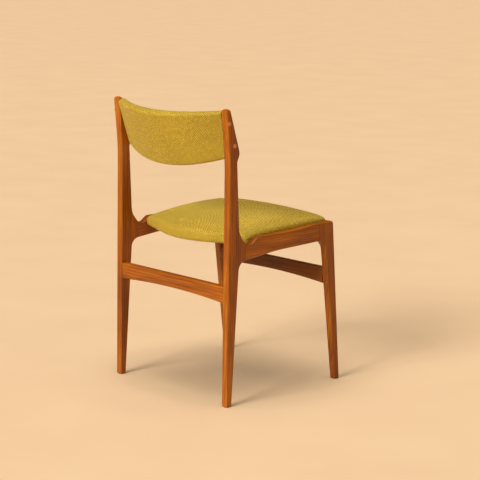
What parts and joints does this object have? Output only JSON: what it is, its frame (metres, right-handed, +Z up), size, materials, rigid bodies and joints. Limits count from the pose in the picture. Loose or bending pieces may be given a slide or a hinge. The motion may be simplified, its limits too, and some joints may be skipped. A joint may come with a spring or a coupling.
{
  "type": "dining chair",
  "caption": "Armless dining chair with a solid wood frame, an upholstered seat set between the side rails and a curved upholstered back.",
  "frame": {"origin": "on the floor, under the middle of the chair's bounding box", "axes": "+Z up, the sitter faces -Y, +X is the sitter's left"},
  "size_m": [0.477, 0.4882, 0.8],
  "materials": {
    "teak": "satin lacquer over straight brown grain",
    "plug_wood": "satin lacquer, lighter end grain",
    "beech": "bare planed wood",
    "plywood": "bare veneer",
    "wool_fabric": "coarse woven wool, mustard green",
    "foam": "open foam",
    "lining": "thin black lining cloth",
    "steel": "zinc plated",
    "glide_plastic": "dark nylon"
  },
  "bodies": {
    "root": {"back_block_left": "beech", "back_block_right": "beech", "back_core": "plywood", "back_cover": "wool_fabric", "back_front_foam": "foam", "back_rear_padding": "foam", "back_screws": "steel", "cleat_screws_left": "steel", "cleat_screws_right": "steel", "front_joint_dowels_left": "beech", "front_joint_dowels_right": "beech", "front_leg_left": "teak", "front_leg_right": "teak", "front_stretcher": "teak", "front_stretcher_dowels": "beech", "glide_front_left": "glide_plastic", "glide_front_right": "glide_plastic", "glide_nails": "steel", "glide_rear_left": "glide_plastic", "glide_rear_right": "glide_plastic", "rear_joint_dowels_left": "beech", "rear_joint_dowels_right": "beech", "rear_post_left": "teak", "rear_post_right": "teak", "rear_stretcher": "teak", "rear_stretcher_dowels": "beech", "screw_plugs_left": "plug_wood", "screw_plugs_right": "plug_wood", "seat_cleat_left": "beech", "seat_cleat_right": "beech", "seat_cover": "wool_fabric", "seat_dust_cover": "lining", "seat_foam": "foam", "seat_pan": "plywood", "seat_screws": "steel", "seat_staples": "steel", "side_rail_left": "teak", "side_rail_right": "teak"}
  },
  "joints": []
}
